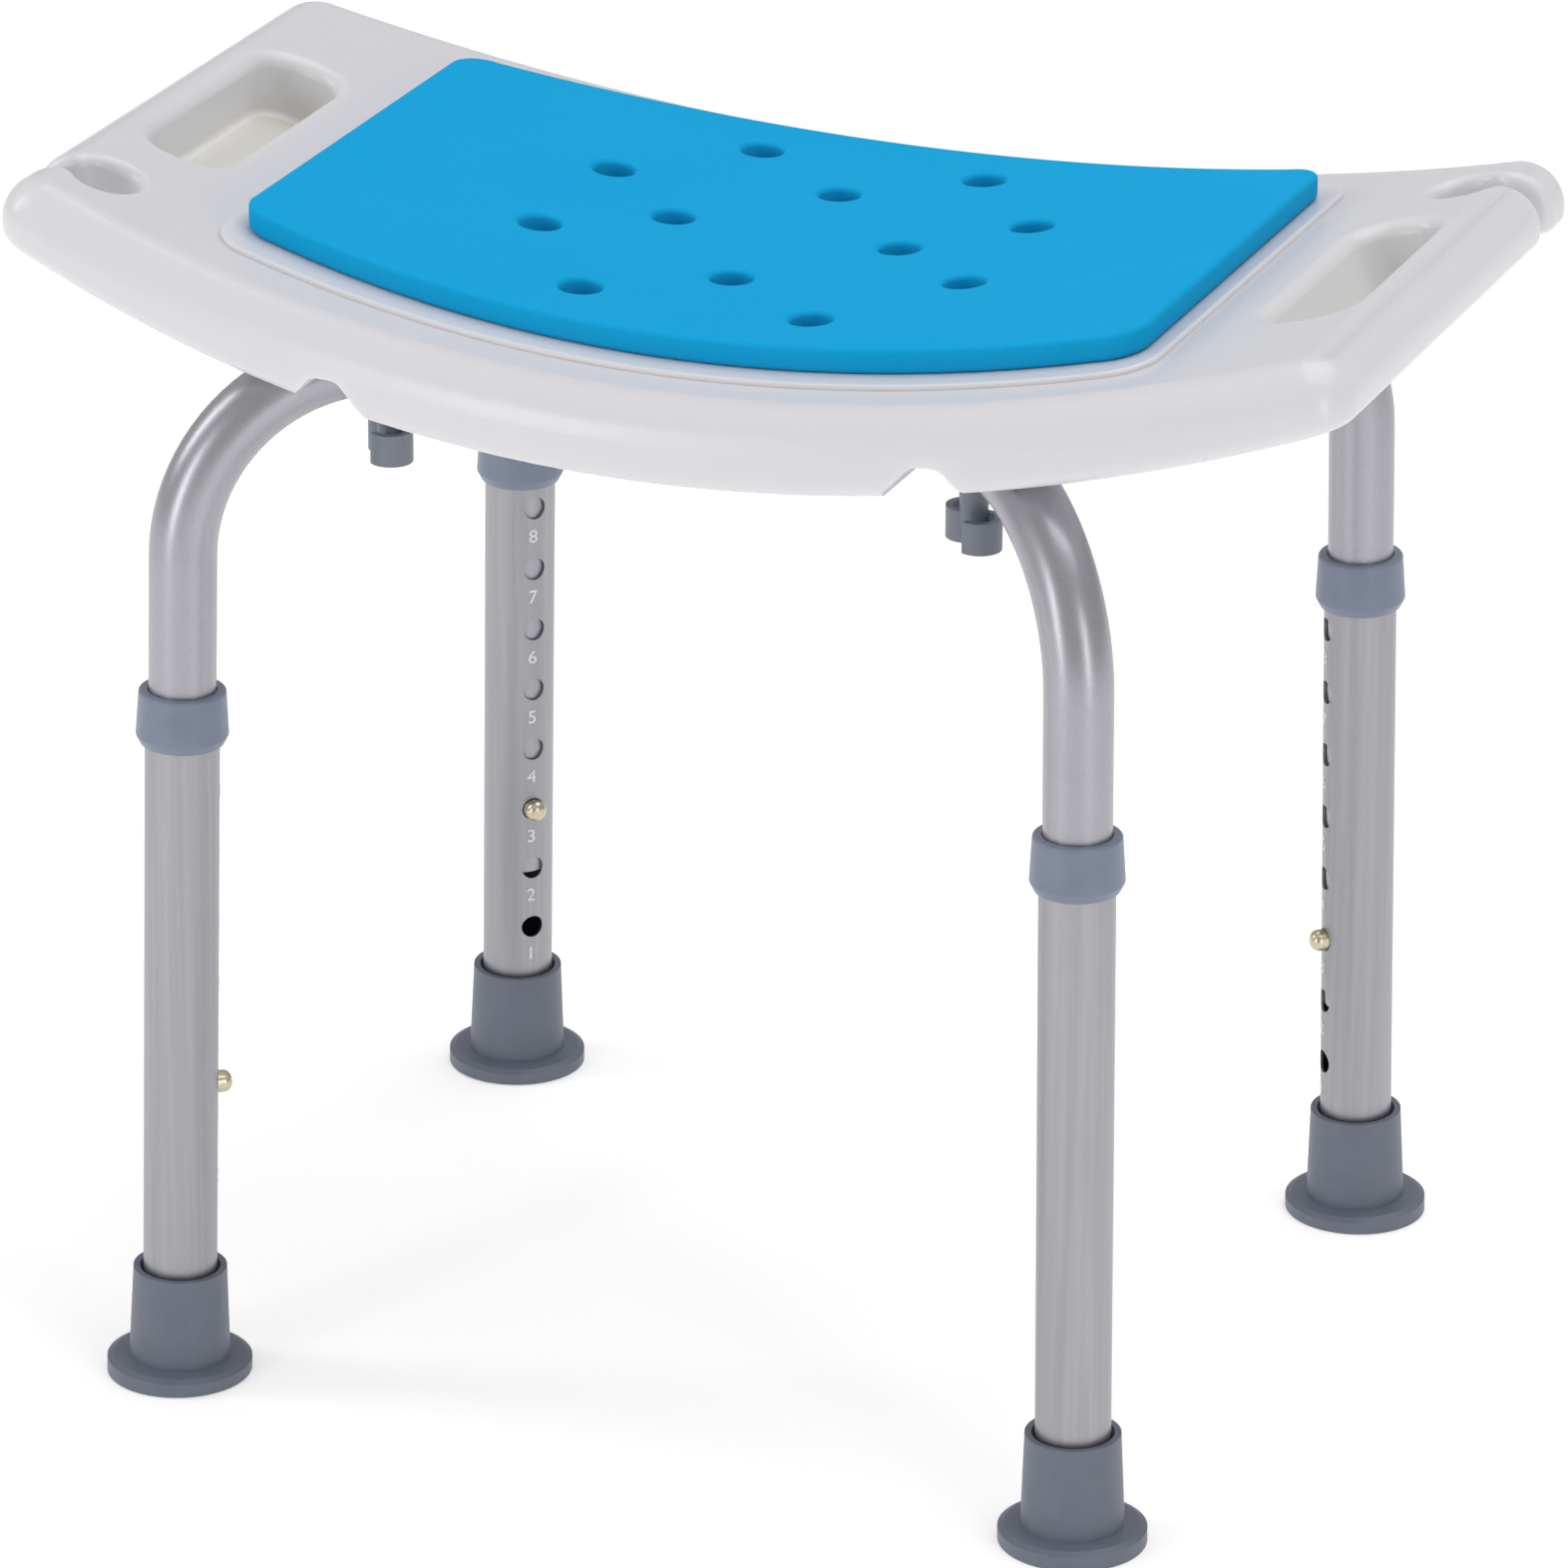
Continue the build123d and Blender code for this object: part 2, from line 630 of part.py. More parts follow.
def make_wing_knob(corner):
    """Hand knob: a round hub that carries a ribbon curled into an S."""
    hub_top = ARM_HEIGHT - UPPER_DIAMETER / 2 - RUNNING_GAP
    ribbon_plane = Plane(bolt_point(corner, KNOB_BOTTOM)).rotated((0, 0, KNOB_TURNS[corner]))
    with BuildPart() as knob:
        with BuildSketch(ribbon_plane):
            with BuildLine():
                CenterArc((0, -WING_LOOP_RADIUS), WING_LOOP_RADIUS, 90, -WING_SWEEP)
                CenterArc((0, WING_LOOP_RADIUS), WING_LOOP_RADIUS, 270, -WING_SWEEP)
            trace(line_width=WING_WALL)
        extrude(amount=WING_HEIGHT)
        with BuildSketch(Plane(bolt_point(corner, HUB_BOTTOM))):
            Circle(HUB_BOTTOM_DIAMETER / 2)
        with BuildSketch(Plane(bolt_point(corner, hub_top))):
            Circle(HUB_TOP_DIAMETER / 2)
        loft()
        with BuildSketch(Plane(bolt_point(corner, STUD_BOTTOM))):
            Circle(STUD_DIAMETER / 2 + FIT_GAP)
        extrude(amount=hub_top - STUD_BOTTOM, mode=Mode.SUBTRACT)
    return knob.part


def make_knob_stud(corner):
    """Threaded rod moulded into the knob, drawn at its nominal diameter."""
    bottom = STUD_BOTTOM + FIT_GAP
    top = ARM_HEIGHT + UPPER_DIAMETER / 2 + INSERT_LENGTH - 1
    with BuildPart() as stud:
        with BuildSketch(Plane(bolt_point(corner, bottom))):
            Circle(STUD_DIAMETER / 2)
        extrude(amount=top - bottom)
        chamfer(stud.edges().sort_by(Axis.Z)[-1], STUD_CHAMFER)
    return stud.part


def make_thread_inserts():
    """Four brass nuts moulded into the seat, one above each arm."""
    bottom = ARM_HEIGHT + UPPER_DIAMETER / 2 + CHANNEL_GAP
    with BuildPart() as inserts:
        for x, y in bolt_points():
            with BuildSketch(Plane((x, y, bottom))):
                Circle(INSERT_DIAMETER / 2)
                Circle(INSERT_BORE / 2, mode=Mode.SUBTRACT)
            extrude(amount=INSERT_LENGTH - FIT_GAP)
    return inserts.part


def save(part, name):
    """Label a finished piece and write it out."""
    part.label = name
    export_step(part, f"parts/{name}.step")


os.makedirs("parts", exist_ok=True)
save(make_seat_shell(), "seat_shell")
save(make_foam_pad(), "foam_pad")
save(make_thread_inserts(), "thread_inserts")
for corner in CORNERS:
    save(make_upper_leg(corner), f"upper_leg_{corner}")
    save(make_lower_tube(corner), f"lower_tube_{corner}")
    save(make_collar(corner), f"collar_{corner}")
    save(make_boot(corner), f"boot_{corner}")
    save(make_push_button(corner), f"push_button_{corner}")
    save(make_button_spring(corner), f"button_spring_{corner}")
    save(make_wing_knob(corner), f"wing_knob_{corner}")
    save(make_knob_stud(corner), f"knob_stud_{corner}")
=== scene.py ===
"""Shower stool: materials, foam pad, stamped numbers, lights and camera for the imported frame."""

import json
from math import cos, pi, radians, sin, sqrt

import bmesh
import bpy
from mathutils import Matrix, Vector

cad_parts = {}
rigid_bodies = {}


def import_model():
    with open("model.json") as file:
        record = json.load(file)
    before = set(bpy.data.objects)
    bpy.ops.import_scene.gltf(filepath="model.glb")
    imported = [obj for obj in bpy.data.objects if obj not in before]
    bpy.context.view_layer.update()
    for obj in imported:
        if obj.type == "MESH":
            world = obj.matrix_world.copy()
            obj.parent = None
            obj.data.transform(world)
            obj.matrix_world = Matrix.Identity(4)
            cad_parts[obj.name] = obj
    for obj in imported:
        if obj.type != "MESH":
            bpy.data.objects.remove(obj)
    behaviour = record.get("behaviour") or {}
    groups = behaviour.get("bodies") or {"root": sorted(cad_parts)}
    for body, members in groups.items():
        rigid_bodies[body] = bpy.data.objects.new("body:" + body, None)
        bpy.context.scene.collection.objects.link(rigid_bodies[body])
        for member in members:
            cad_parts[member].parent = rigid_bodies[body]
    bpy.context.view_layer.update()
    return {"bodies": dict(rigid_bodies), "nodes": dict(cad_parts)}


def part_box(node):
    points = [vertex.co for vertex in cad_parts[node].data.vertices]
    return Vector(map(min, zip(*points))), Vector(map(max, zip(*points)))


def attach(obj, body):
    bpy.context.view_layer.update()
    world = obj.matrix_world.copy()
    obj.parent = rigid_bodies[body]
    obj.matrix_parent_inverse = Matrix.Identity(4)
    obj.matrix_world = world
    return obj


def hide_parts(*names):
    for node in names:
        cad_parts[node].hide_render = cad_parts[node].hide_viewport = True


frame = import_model()

MM = 0.001
CORNERS = {"fl": (-1, -1), "bl": (-1, 1), "fr": (1, -1), "br": (1, 1)}

# Saddle of the seat: a cylinder lying along Y, above the seat.
SADDLE_RADIUS = 790 * MM
SEAT_TOP = 400.3 * MM
SADDLE_CENTRE = SEAT_TOP + SADDLE_RADIUS
LEDGE_HEIGHT = 2 * MM

# Foam pad.
PAD_THICKNESS = 9.6 * MM
PAD_CORNER_RADIUS = 14 * MM
PAD_EDGE_RADIUS = 2.2 * MM
PAD_HOLE_RADIUS = 7.5 * MM
PAD_MIDDLE_BULGE = 18.5 * MM  # how far each long side bows out
HOLE_COLUMN_X = (43.5 * MM, 81 * MM)
HOLE_ROW_Y = (33 * MM, 50 * MM, 82.5 * MM)
PAD_SLICE = 5 * MM
PAD_SHARP_ANGLE = radians(50)

# How finely the pad's plan is drawn.
ARC_STEPS = 8
BOW_STEPS = 24
CIRCLE_STEPS = 40
SAME_POINT = 0.001 * MM
ON_PLANE = 0.0001 * MM

# Legs.
ARM_ANGLE = radians(40.4)
LEAN = radians(1.32)
FOOT_X = 174.1 * MM
FOOT_Y = 150.75 * MM
LOWER_RADIUS = 13.4 * MM
FIRST_HOLE = 62 * MM
HOLE_PITCH = 25 * MM
HOLE_COUNT = 8

# Stamped numbers.
DIGIT_SIZE = 7.5 * MM
DIGIT_DROP = 11.5 * MM  # below each hole
DIGIT_SIDE = 0.8 * MM  # to one side of the holes' centre line
DIGIT_HEIGHT = 0.12 * MM
DIGIT_BEVEL = 0.08 * MM

# Hand recesses and hose slots. A point is mirrored to the other end by half a turn about Z.
RECESS_STEPS = (-36 * MM, -23 * MM, -10 * MM, 4 * MM, 18 * MM, 31 * MM, 44 * MM)
RECESS_LINE = [(-218.5 * MM, y, 416 * MM) for y in RECESS_STEPS]
RECESS_STAIN = (-219 * MM, 50 * MM, 411 * MM)
RECESS_GATE_MARK = (-220.2 * MM, -8 * MM, 407.7 * MM)
RECESS_STARTS = (190 * MM, 198 * MM)  # distance from the middle, along X
RECESS_FLOOR_TOP = (409 * MM, 414 * MM)
SLOT_MIDDLE = (-226 * MM, -90.5 * MM, 414 * MM)


# ---------------------------------------------------------------- materials
NOISE_ROUGHNESS = 0.55


class Surface:
    """A Principled material with a few helpers for building its node tree."""

    def __init__(self, name, color, roughness, metallic=0.0):
        self.material = bpy.data.materials.new(name)
        self.material.use_nodes = True
        self.nodes = self.material.node_tree.nodes
        self.links = self.material.node_tree.links
        self.shader = self.nodes["Principled BSDF"]
        self.color = self.rgb(color)
        self.shader.inputs["Roughness"].default_value = roughness
        self.shader.inputs["Metallic"].default_value = metallic
        self.place = self.nodes.new("ShaderNodeTexCoord").outputs["Object"]
        self.height = None  # relief added so far

    def rgb(self, color):
        return (*color, 1.0)

    def math(self, operation, first, second=None):
        node = self.nodes.new("ShaderNodeMath")
        node.operation = operation
        for socket, value in zip(node.inputs, (first, second)):
            if isinstance(value, (int, float)):
                socket.default_value = value
            elif value is not None:
                self.links.new(value, socket)
        return node.outputs[0]

    def stretched(self, scale, turn):
        node = self.nodes.new("ShaderNodeMapping")
        node.inputs["Scale"].default_value = scale
        node.inputs["Rotation"].default_value = (0, 0, turn)
        self.links.new(self.place, node.inputs["Vector"])
        return node.outputs[0]

    def noise(self, scale, detail=3.0, stretch=(1, 1, 1), turn=0.0):
        """Cloudy pattern from 0 to 1. Scale is in repeats per metre."""
        node = self.nodes.new("ShaderNodeTexNoise")
        node.inputs["Scale"].default_value = scale
        node.inputs["Detail"].default_value = detail
        node.inputs["Roughness"].default_value = NOISE_ROUGHNESS
        self.links.new(self.stretched(stretch, turn), node.inputs["Vector"])
        return node.outputs["Fac"]

    def cells(self, scale):
        """Distance to the nearest of many scattered points."""
        node = self.nodes.new("ShaderNodeTexVoronoi")
        node.inputs["Scale"].default_value = scale
        node.inputs["Randomness"].default_value = 1.0
        self.links.new(self.place, node.inputs["Vector"])
        return node.outputs["Distance"]

    def band(self, value, low, high, out_low=0.0, out_high=1.0):
        """Turn the range low to high into out_low to out_high, smoothly."""
        node = self.nodes.new("ShaderNodeMapRange")
        node.interpolation_type = "SMOOTHSTEP"
        node.inputs["From Min"].default_value = low
        node.inputs["From Max"].default_value = high
        node.inputs["To Min"].default_value = out_low
        node.inputs["To Max"].default_value = out_high
        self.links.new(value, node.inputs["Value"])
        return node.outputs["Result"]

    def times(self, first, second):
        return self.math("MULTIPLY", first, second)

    def mix(self, factor, color):
        """Lay another colour over what is there, by a factor."""
        node = self.nodes.new("ShaderNodeMix")
        node.data_type = "RGBA"
        self.links.new(factor, node.inputs["Factor"])
        if isinstance(self.color, tuple):
            node.inputs["A"].default_value = self.color
        else:
            self.links.new(self.color, node.inputs["A"])
        node.inputs["B"].default_value = self.rgb(color)
        self.color = node.outputs["Result"]

    def bump(self, value, depth):
        """Add relief of a real depth in metres."""
        raised = self.times(value, depth)
        self.height = raised if self.height is None else self.math("ADD", self.height, raised)

    def near(self, point, radius, soft):
        """1 inside a ball round a point, fading to 0 over a soft edge."""
        node = self.nodes.new("ShaderNodeVectorMath")
        node.operation = "DISTANCE"
        self.links.new(self.place, node.inputs[0])
        node.inputs[1].default_value = point
        return self.band(node.outputs["Value"], radius, radius + soft, 1.0, 0.0)

    def facing_up(self, low, high):
        """1 where the surface faces straight up, fading to 0 as it tilts."""
        geometry = self.nodes.new("ShaderNodeNewGeometry")
        node = self.nodes.new("ShaderNodeSeparateXYZ")
        self.links.new(geometry.outputs["Normal"], node.inputs[0])
        return self.band(node.outputs["Z"], low, high)

    def axis(self, name):
        """One coordinate, X, Y or Z, in the object's own frame."""
        node = self.nodes.new("ShaderNodeSeparateXYZ")
        self.links.new(self.place, node.inputs[0])
        return node.outputs[name]

    def set(self, **values):
        """Set inputs of the shader, by their names with underscores for spaces."""
        for name, value in values.items():
            self.shader.inputs[name.replace("_", " ")].default_value = value

    def done(self):
        if isinstance(self.color, tuple):
            self.shader.inputs["Base Color"].default_value = self.color
        else:
            self.links.new(self.color, self.shader.inputs["Base Color"])
        if self.height is not None:
            node = self.nodes.new("ShaderNodeBump")
            node.inputs["Strength"].default_value = 1.0
            node.inputs["Distance"].default_value = 1.0
            self.links.new(self.height, node.inputs["Height"])
            self.links.new(node.outputs["Normal"], self.shader.inputs["Normal"])
        return self.material


def both_ends(point):
    """The point at the left end, and its partner at the right end."""
    x, y, z = point
    return ((x, y, z), (-x, -y, z))


def seat_plastic():
    """White blow-moulded plastic: slightly see-through, with a soft gloss."""
    s = Surface("seat_plastic", (0.665, 0.658, 0.685), 0.34)
    s.set(Subsurface_Weight=0.35, Subsurface_Radius=(0.012, 0.011, 0.009), Subsurface_Scale=1.0)
    s.set(Coat_Weight=0.2, Coat_Roughness=0.16)
    s.mix(s.band(s.noise(7, 2.0), 0.42, 0.75, 0.0, 0.30), (0.63, 0.625, 0.65))
    s.mix(s.band(s.noise(55, 4.0), 0.58, 0.85, 0.0, 0.10), (0.58, 0.56, 0.54))
    # Painted highlight: the walls of the hand recesses are lightened to a creamy white.
    for left in RECESS_LINE:
        for point in both_ends(left):
            s.mix(s.times(s.near(point, 16 * MM, 12 * MM), 0.5), (0.86, 0.85, 0.82))
    # Painted shade: the floors of the hand recesses are greyed, darker than their walls.
    at_ends = s.band(s.math("ABSOLUTE", s.axis("X")), *RECESS_STARTS)
    low_down = s.band(s.axis("Z"), *RECESS_FLOOR_TOP, 1.0, 0.0)
    recess_floor_shade = s.times(s.times(at_ends, low_down), s.facing_up(0.75, 0.97))
    s.mix(s.times(recess_floor_shade, 0.75), (0.52, 0.52, 0.505))
    # Painted light: the hose slots and their edges are lightened.
    for point in both_ends(SLOT_MIDDLE):
        s.mix(s.near(point, 12 * MM, 10 * MM), (0.72, 0.715, 0.72))
    # Stains in one wet corner of each hand recess.
    for point in both_ends(RECESS_STAIN):
        patchy = s.band(s.noise(90, 4.0), 0.35, 0.7)
        stain = s.times(s.near(point, 3 * MM, 22 * MM), patchy)
        s.mix(s.times(stain, 0.4), (0.66, 0.58, 0.46))
    # Moulding gate marks on the recess floors.
    for point in both_ends(RECESS_GATE_MARK):
        s.mix(s.near(point, 1.0 * MM, 1.2 * MM), (0.30, 0.30, 0.32))
    # A few fine specks and short scuffs.
    s.mix(s.band(s.cells(30), 0.010, 0.018, 0.35, 0.0), (0.40, 0.38, 0.36))
    scuffs = s.noise(140, 2.0, stretch=(1, 6, 1), turn=0.6)
    s.mix(s.band(scuffs, 0.70, 0.78, 0.0, 0.10), (0.55, 0.55, 0.57))
    s.bump(s.noise(55, 3.0), 0.12 * MM)
    s.bump(s.noise(900, 2.0), 0.010 * MM)
    return s.done()


def pad_foam():
    """Blue closed-cell foam, matte and finely grained."""
    s = Surface("pad_foam", (0.006, 0.345, 0.665), 0.85)
    s.set(Specular_IOR_Level=0.06)
    s.mix(s.band(s.noise(14, 3.0), 0.35, 0.7, 0.0, 0.30), (0.013, 0.365, 0.685))
    s.mix(s.band(s.noise(1500, 2.0), 0.50, 0.72, 0.0, 0.25), (0.018, 0.41, 0.74))
    s.mix(s.band(s.noise(1100, 2.0, turn=1.0), 0.56, 0.76, 0.0, 0.32), (0.004, 0.26, 0.56))
    s.bump(s.noise(1300, 3.0), 0.06 * MM)
    s.bump(s.noise(220, 2.0), 0.05 * MM)
    return s.done()


def tube_silver():
    """Satin silver lacquer with a fine metallic grain."""
    s = Surface("tube_silver", (0.38, 0.38, 0.412), 0.34, 0.8)
    s.mix(s.band(s.noise(2400, 2.0), 0.48, 0.72, 0.0, 0.55), (0.47, 0.47, 0.505))
    s.mix(s.band(s.noise(1500, 3.0, turn=0.7), 0.50, 0.75, 0.0, 0.40), (0.28, 0.28, 0.305))
    s.mix(s.band(s.noise(35, 4.0), 0.5, 0.8, 0.0, 0.25), (0.31, 0.31, 0.325))
    s.bump(s.noise(1600, 2.0), 0.03 * MM)
    s.bump(s.noise(120, 3.0), 0.07 * MM)
    return s.done()


def tube_aluminium():
    """Drawn aluminium: fine streaks along the tube."""
    s = Surface("tube_aluminium", (0.345, 0.345, 0.368), 0.38, 0.85)
    s.set(Anisotropic=0.3)
    streak = s.noise(420, 4.0, stretch=(1, 1, 0.012))
    s.mix(s.band(streak, 0.35, 0.7, 0.0, 0.5), (0.41, 0.41, 0.435))
    broad_streak = s.noise(160, 3.0, stretch=(1, 1, 0.03))
    s.mix(s.band(broad_streak, 0.5, 0.8, 0.0, 0.4), (0.28, 0.28, 0.292))
    s.mix(s.band(s.noise(1800, 2.0), 0.5, 0.75, 0.0, 0.25), (0.44, 0.44, 0.455))
    s.bump(streak, 0.01 * MM)
    s.bump(s.noise(70, 2.0), 0.03 * MM)
    return s.done()


def grey_plastic(name, color, roughness):
    """Matte grey plastic or rubber with a fine grain."""
    s = Surface(name, color, roughness)
    darker = tuple(0.82 * c for c in color)
    lighter = tuple(1.2 * c for c in color)
    s.mix(s.band(s.noise(90, 4.0), 0.4, 0.7, 0.0, 0.35), darker)
    s.mix(s.band(s.noise(1400, 2.0), 0.52, 0.75, 0.0, 0.35), lighter)
    s.bump(s.noise(900, 3.0), 0.03 * MM)
    s.bump(s.noise(80, 2.0), 0.08 * MM)
    return s.done()


def worn_metal(name, color, roughness):
    """Bare metal, darker in patches."""
    s = Surface(name, color, roughness, 1.0)
    darker = tuple(0.7 * c for c in color)
    s.mix(s.band(s.noise(500, 4.0), 0.45, 0.75, 0.0, 0.5), darker)
    s.bump(s.noise(700, 3.0), 0.02 * MM)
    return s.done()


def dress(node, material):
    """Give a CAD node one material all over."""
    for slot in frame["nodes"][node].material_slots:
        slot.material = material


MATERIALS = {
    "seat_shell": seat_plastic(),
    "thread_inserts": worn_metal("insert_brass", (0.60, 0.48, 0.25), 0.3),
    "upper_leg": tube_silver(),
    "lower_tube": tube_aluminium(),
    "collar": grey_plastic("collar_plastic", (0.175, 0.207, 0.278), 0.40),
    "boot": grey_plastic("boot_rubber", (0.126, 0.143, 0.186), 0.46),
    "push_button": worn_metal("button_brass", (0.62, 0.56, 0.40), 0.28),
    "button_spring": worn_metal("spring_steel", (0.45, 0.45, 0.46), 0.3),
    "wing_knob": grey_plastic("knob_plastic", (0.165, 0.187, 0.225), 0.42),
    "knob_stud": worn_metal("stud_steel", (0.55, 0.55, 0.56), 0.3),
}
for node_name in frame["nodes"]:
    # Nodes with one piece per leg end in an underscore and the corner's two letters.
    family = node_name if node_name in MATERIALS else node_name[:-3]
    if family in MATERIALS:
        dress(node_name, MATERIALS[family])


# ---------------------------------------------------------------- meshes from curves
def mesh_of(name, curve):
    """The mesh that a curve makes."""
    holder = bpy.data.objects.new(name, curve)
    bpy.context.scene.collection.objects.link(holder)
    bpy.context.view_layer.update()
    depsgraph = bpy.context.evaluated_depsgraph_get()
    mesh = bpy.data.meshes.new_from_object(holder.evaluated_get(depsgraph))
    bpy.data.objects.remove(holder)
    return mesh


# ---------------------------------------------------------------- foam pad
def corner_arc(x, y, start):
    """Quarter circle round a corner's centre, without its first point."""
    angles = [start + (pi / 2) * i / ARC_STEPS for i in range(1, ARC_STEPS + 1)]
    return [(x + PAD_CORNER_RADIUS * cos(a), y + PAD_CORNER_RADIUS * sin(a)) for a in angles]


def pad_outline():
    """Plan of the pad: straight ends, long sides that bow out, and round corners."""
    low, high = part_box("foam_pad")
    half_x, half_y = high.x, high.y
    straight = half_x - PAD_CORNER_RADIUS
    half_plan = []
    for i in range(BOW_STEPS + 1):
        x = straight - 2 * straight * i / BOW_STEPS
        half_plan.append((x, half_y - PAD_MIDDLE_BULGE * (x / half_x) ** 2))
    corner_y = half_plan[-1][1] - PAD_CORNER_RADIUS
    half_plan += corner_arc(-straight, corner_y, pi / 2)
    half_plan += corner_arc(-straight, -corner_y, pi)[:-1]
    return half_plan + [(-x, -y) for x, y in half_plan]


def circle_points(x, y, radius):
    angles = [2 * pi * i / CIRCLE_STEPS for i in range(CIRCLE_STEPS)]
    return [(x + radius * cos(a), y + radius * sin(a)) for a in angles]


def hole_points():
    """Plan positions of the pad's twelve holes."""
    near_x, far_x = HOLE_COLUMN_X
    low_y, mid_y, high_y = HOLE_ROW_Y
    points = [(0, mid_y), (0, -mid_y), (near_x, 0), (-near_x, 0)]
    for side_x in (-1, 1):
        for side_y in (-1, 1):
            points.append((side_x * near_x, side_y * high_y))
            points.append((side_x * far_x, side_y * low_y))
    return points


def inset_curve(name, rings, thickness, rounding):
    """A flat plate with holes and rounded edges, made by a bevelled 2D curve."""
    curve = bpy.data.curves.new(name, "CURVE")
    curve.dimensions = "2D"
    curve.fill_mode = "BOTH"
    curve.extrude = thickness / 2 - rounding
    curve.bevel_depth = rounding
    curve.bevel_resolution = 4
    curve.offset = -rounding
    for ring in rings:
        spline = curve.splines.new("POLY")
        spline.points.add(len(ring) - 1)
        for point, (x, y) in zip(spline.points, ring):
            point.co = (x, y, 0, 1)
        spline.use_cyclic_u = True
    return mesh_of(name + "_curve", curve)


def make_pad():
    """The foam pad: a flat plate, cut into slices and bent onto the saddle."""
    rings = [pad_outline()]
    rings += [circle_points(x, y, PAD_HOLE_RADIUS) for x, y in hole_points()]
    mesh = inset_curve("foam_cushion", rings, PAD_THICKNESS, PAD_EDGE_RADIUS)
    mesh.name = "foam_cushion"
    bm = bmesh.new()
    bm.from_mesh(mesh)
    bmesh.ops.remove_doubles(bm, verts=bm.verts, dist=SAME_POINT)
    reach = max(v.co.x for v in bm.verts)
    slices = int(2 * reach / PAD_SLICE)
    for i in range(1, slices):
        x = -reach + 2 * reach * i / slices
        geometry = list(bm.verts) + list(bm.edges) + list(bm.faces)
        bmesh.ops.bisect_plane(
            bm, geom=geometry, plane_co=(x, 0, 0), plane_no=(1, 0, 0), dist=ON_PLANE
        )
    middle_radius = SADDLE_RADIUS - LEDGE_HEIGHT - PAD_THICKNESS / 2
    for v in bm.verts:
        fall = sqrt(middle_radius**2 - v.co.x**2)
        v.co.z = SADDLE_CENTRE - fall + v.co.z * middle_radius / fall
    bm.to_mesh(mesh)
    bm.free()
    mesh.shade_smooth()
    mesh.set_sharp_from_angle(angle=PAD_SHARP_ANGLE)
    pad = bpy.data.objects.new("foam_cushion", mesh)
    bpy.context.scene.collection.objects.link(pad)
    mesh.materials.clear()
    mesh.materials.append(pad_foam())
    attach(pad, "frame")
    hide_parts("foam_pad")


make_pad()


# ---------------------------------------------------------------- stamped numbers
def leg_matrix(corner):
    """Frame of a leg: origin at the foot, Z up the leg, X towards the seat's centre."""
    side_x, side_y = CORNERS[corner]
    inward = Vector((-side_x * cos(ARM_ANGLE), -side_y * sin(ARM_ANGLE), 0))
    up = inward * sin(LEAN) + Vector((0, 0, cos(LEAN)))
    x_dir = inward * cos(LEAN) - Vector((0, 0, sin(LEAN)))
    y_dir = up.cross(x_dir)
    matrix = Matrix((x_dir, y_dir, up)).transposed().to_4x4()
    matrix.translation = Vector((side_x * FOOT_X, side_y * FOOT_Y, 0))
    return matrix


def digit_mesh(character):
    curve = bpy.data.curves.new("digit", "FONT")
    curve.body = character
    curve.size = DIGIT_SIZE
    curve.align_x = "CENTER"
    curve.align_y = "CENTER"
    curve.extrude = DIGIT_HEIGHT
    curve.bevel_depth = DIGIT_BEVEL
    return mesh_of("digit", curve)


def make_numbers(corner, material):
    """The row of stamped position numbers, wrapped round one lower tube."""
    bm = bmesh.new()
    for index in range(HOLE_COUNT):
        mesh = digit_mesh(str(index + 1))
        height = FIRST_HOLE + index * HOLE_PITCH - DIGIT_DROP
        for v in mesh.vertices:
            angle = (v.co.x - DIGIT_SIDE) / LOWER_RADIUS
            radius = LOWER_RADIUS + v.co.z
            v.co = (radius * cos(angle), radius * sin(angle), height + v.co.y)
        bm.from_mesh(mesh)
        bpy.data.meshes.remove(mesh)
    bm.transform(leg_matrix(corner))
    mesh = bpy.data.meshes.new("numbers_" + corner)
    bm.to_mesh(mesh)
    bm.free()
    mesh.materials.clear()
    mesh.materials.append(material)
    numbers = bpy.data.objects.new("numbers_" + corner, mesh)
    bpy.context.scene.collection.objects.link(numbers)
    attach(numbers, "lower_leg_" + corner)


number_metal = worn_metal("stamped_metal", (0.66, 0.66, 0.67), 0.35)
for corner_name in CORNERS:
    make_numbers(corner_name, number_metal)


# ---------------------------------------------------------------- floor, light and camera
WHITE = (1.0, 1.0, 1.0, 1.0)
FLOOR_HALF_WIDTH = 6.0
FLOOR_GAP = 0.3 * MM  # keeps the boots from touching the floor
WORLD_STRENGTH = 0.5

# Each light: place, the point it faces, width and height, and power in watts.
LIGHTS = {
    "top": ((0.5, 0.3, 2.4), (0, 0, 0.3), (2.6, 1.8), 27),
    "front_left_strip": ((-0.83, -1.82, 0.6), (0, 0, 0.25), (0.3, 1.1), 6),
    "front_right_strip": ((1.63, -1.16, 0.6), (0, 0, 0.25), (0.25, 1.1), 4.5),
    "left": ((-2.1, -0.6, 1.6), (0, 0, 0.35), (0.6, 1.4), 11),
}

CAMERA_PLACE = (1.16798, -2.83635, 1.45662)
CAMERA_AZIMUTH = radians(22.37)
CAMERA_ELEVATION = radians(22.26)
CAMERA_ROLL = radians(0.38)
CAMERA_LENS = 209.1
CAMERA_SENSOR = 36.0
CAMERA_REACH = 50.0


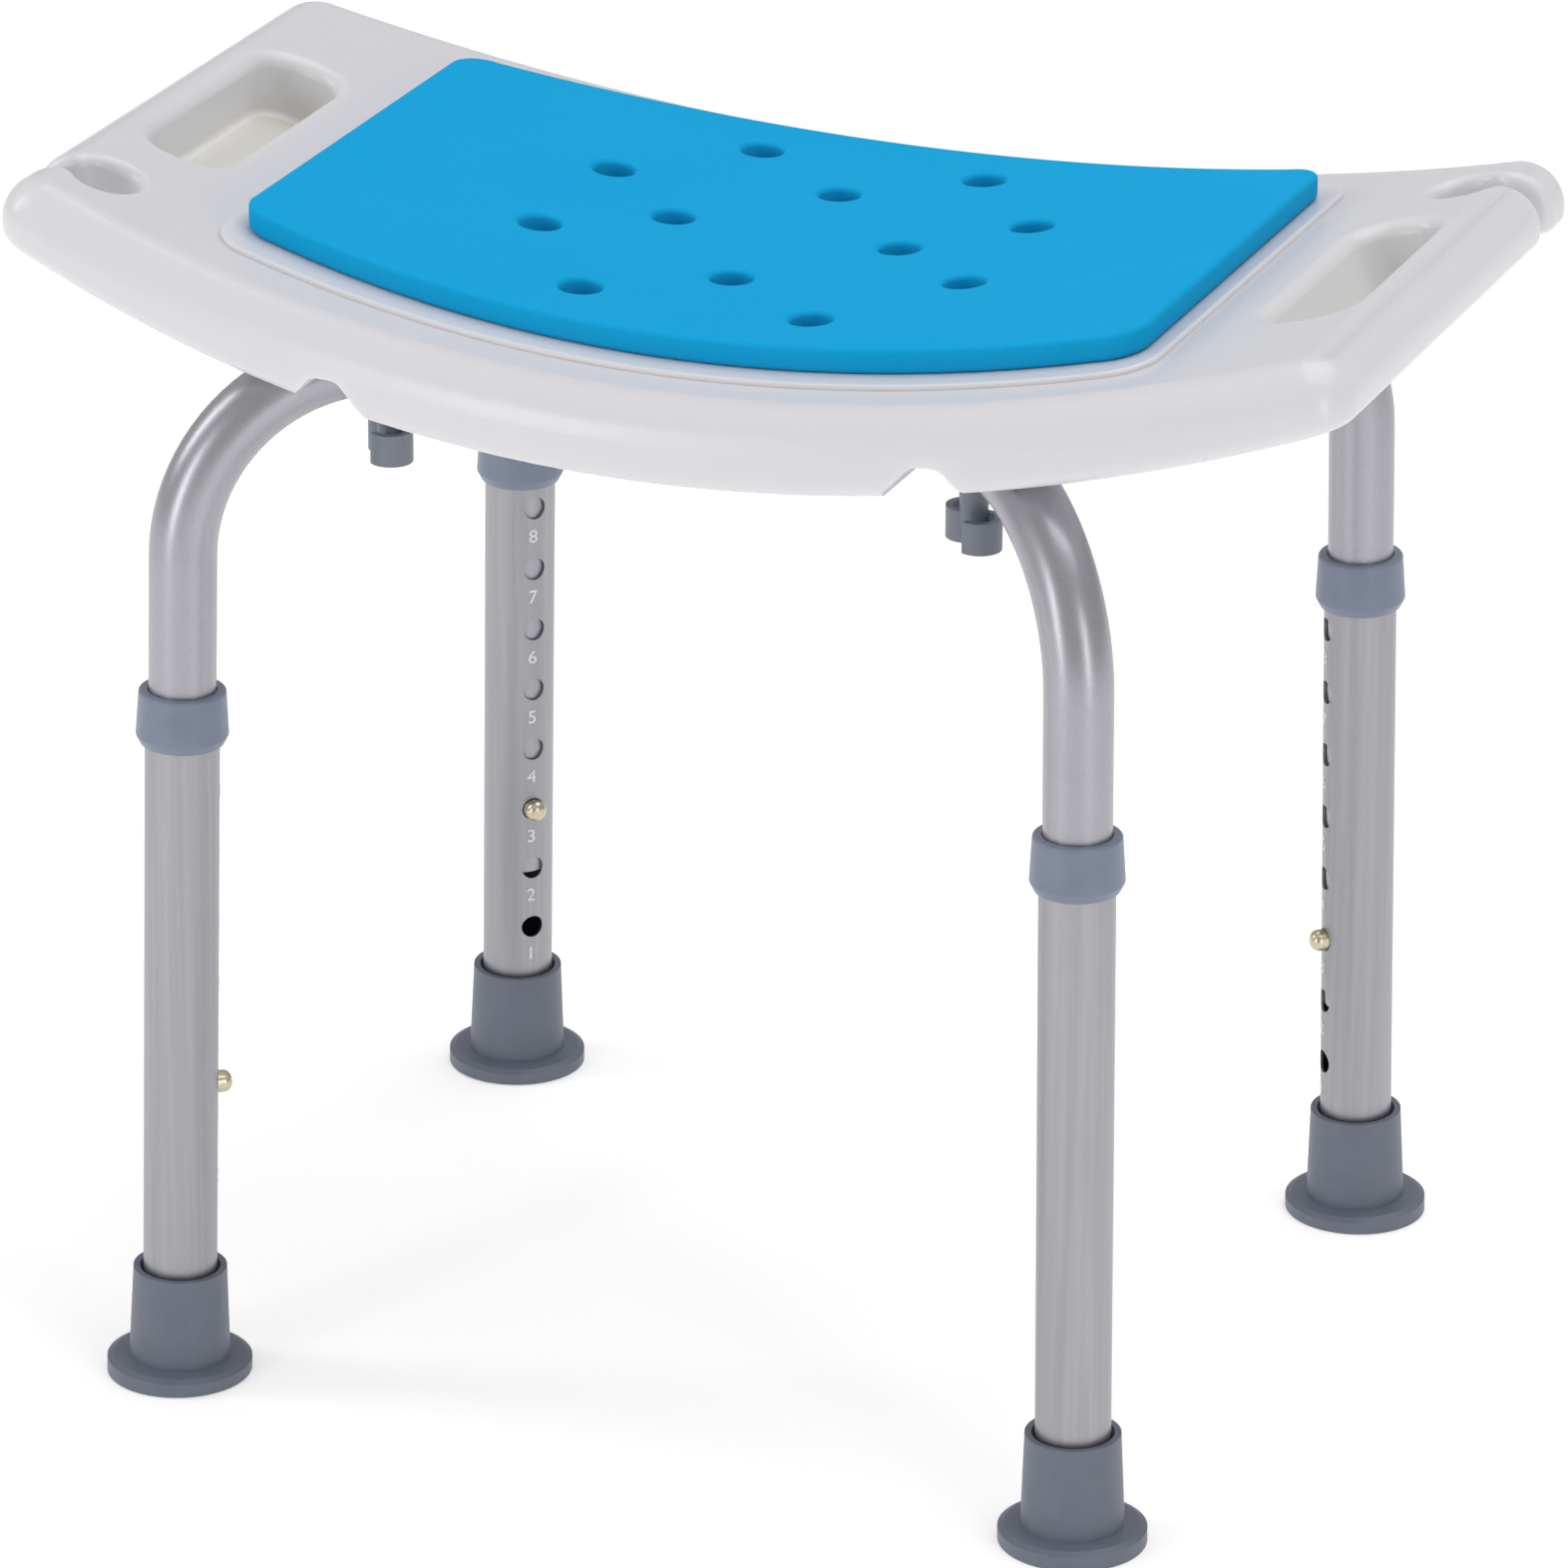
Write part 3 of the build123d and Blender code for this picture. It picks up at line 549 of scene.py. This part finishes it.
def make_floor():
    """A pale floor under the stool."""
    bm = bmesh.new()
    bmesh.ops.create_grid(bm, x_segments=1, y_segments=1, size=FLOOR_HALF_WIDTH)
    mesh = bpy.data.meshes.new("floor")
    bm.to_mesh(mesh)
    bm.free()
    surface = Surface("floor", (0.85, 0.85, 0.85), 0.9)
    surface.set(Specular_IOR_Level=0.1)
    surface.set(Emission_Color=WHITE, Emission_Strength=0.35)
    mesh.materials.append(surface.done())
    floor = bpy.data.objects.new("floor", mesh)
    floor.delta_location.z = -FLOOR_GAP
    bpy.context.scene.collection.objects.link(floor)
    # The floor stays under the lowest boot when the legs slide.
    height = floor.driver_add("location", 2).driver
    height.type = "MIN"
    for corner in CORNERS:
        variable = height.variables.new()
        variable.type = "TRANSFORMS"
        target = variable.targets[0]
        target.id = frame["bodies"]["lower_leg_" + corner]
        target.transform_type = "LOC_Z"
        target.transform_space = "WORLD_SPACE"


def area_light(name, place, target, size, power):
    data = bpy.data.lights.new(name, "AREA")
    data.shape = "RECTANGLE"
    data.size, data.size_y = size
    data.energy = power
    light = bpy.data.objects.new(name, data)
    light.location = place
    direction = Vector(target) - Vector(place)
    light.rotation_euler = direction.to_track_quat("-Z", "Y").to_euler()
    bpy.context.scene.collection.objects.link(light)


def make_lights():
    world = bpy.data.worlds.new("studio")
    world.use_nodes = True
    background = world.node_tree.nodes["Background"]
    background.inputs["Color"].default_value = WHITE
    background.inputs["Strength"].default_value = WORLD_STRENGTH
    bpy.context.scene.world = world
    for name, (place, target, size, power) in LIGHTS.items():
        area_light(name, place, target, size, power)


def make_camera():
    data = bpy.data.cameras.new("camera")
    data.lens = CAMERA_LENS
    data.sensor_width = CAMERA_SENSOR
    data.clip_end = CAMERA_REACH
    camera = bpy.data.objects.new("camera", data)
    heading = Matrix.Rotation(CAMERA_AZIMUTH, 4, "Z")
    tilt = Matrix.Rotation(pi / 2 - CAMERA_ELEVATION, 4, "X")
    camera.matrix_world = heading @ tilt @ Matrix.Rotation(CAMERA_ROLL, 4, "Z")
    camera.location = CAMERA_PLACE
    bpy.context.scene.collection.objects.link(camera)
    bpy.context.scene.camera = camera


make_floor()
make_lights()
make_camera()
bpy.context.scene.view_settings.view_transform = "Standard"
